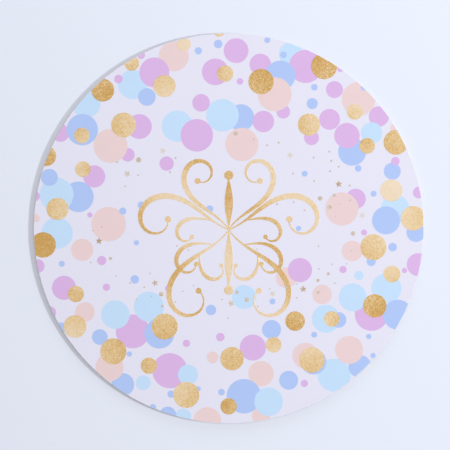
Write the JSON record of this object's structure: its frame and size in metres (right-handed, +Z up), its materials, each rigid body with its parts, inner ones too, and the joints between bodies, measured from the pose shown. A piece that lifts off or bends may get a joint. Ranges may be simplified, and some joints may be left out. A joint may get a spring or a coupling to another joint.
{
  "type": "cake board",
  "caption": "Round laminated card cake board with a white face printed with pastel and gold foil dots around a gold scroll ornament.",
  "frame": {"origin": "centre of the board's underside", "axes": "+Z up out of the printed face, +Y towards the top of the print, +X to its right"},
  "size_m": [0.3, 0.3, 0.0031],
  "materials": {
    "board_card": "satin white laminate on pressed card",
    "gold_foil": "hot stamped gold foil with a fine glitter grain",
    "lilac_print": "satin print",
    "sky_print": "satin print",
    "periwinkle_print": "satin print",
    "peach_print": "satin print"
  },
  "bodies": {
    "root": {"board": "board_card", "gold_scroll": "gold_foil", "gold_dot_1": "gold_foil", "gold_dot_2": "gold_foil", "gold_dot_3": "gold_foil", "gold_dot_4": "gold_foil", "gold_dot_5": "gold_foil", "gold_dot_6": "gold_foil", "gold_dot_7": "gold_foil", "gold_dot_8": "gold_foil", "gold_dot_9": "gold_foil", "gold_dot_10": "gold_foil", "gold_dot_11": "gold_foil", "lilac_dot_1": "lilac_print", "lilac_dot_2": "lilac_print", "lilac_dot_3": "lilac_print", "lilac_dot_4": "lilac_print", "lilac_dot_5": "lilac_print", "lilac_dot_6": "lilac_print", "lilac_dot_7": "lilac_print", "lilac_dot_8": "lilac_print", "lilac_dot_9": "lilac_print", "lilac_dot_10": "lilac_print", "lilac_dot_11": "lilac_print", "peach_dot_1": "peach_print", "peach_dot_2": "peach_print", "peach_dot_3": "peach_print", "peach_dot_4": "peach_print", "peach_dot_5": "peach_print", "peach_dot_6": "peach_print", "peach_dot_7": "peach_print", "peach_dot_8": "peach_print", "peach_dot_9": "peach_print", "peach_dot_10": "peach_print", "peach_dot_11": "peach_print", "peach_dot_12": "peach_print", "periwinkle_dot_1": "periwinkle_print", "periwinkle_dot_2": "periwinkle_print", "periwinkle_dot_3": "periwinkle_print", "periwinkle_dot_4": "periwinkle_print", "periwinkle_dot_5": "periwinkle_print", "periwinkle_dot_6": "periwinkle_print", "periwinkle_dot_7": "periwinkle_print", "periwinkle_dot_8": "periwinkle_print", "periwinkle_dot_9": "periwinkle_print", "sky_dot_1": "sky_print", "sky_dot_2": "sky_print", "sky_dot_3": "sky_print", "sky_dot_4": "sky_print", "sky_dot_5": "sky_print", "sky_dot_6": "sky_print", "sky_dot_7": "sky_print", "sky_dot_8": "sky_print", "sky_dot_9": "sky_print", "sky_dot_10": "sky_print", "sky_dot_11": "sky_print", "sky_dot_12": "sky_print", "sky_dot_13": "sky_print", "sky_dot_14": "sky_print"}
  },
  "joints": []
}
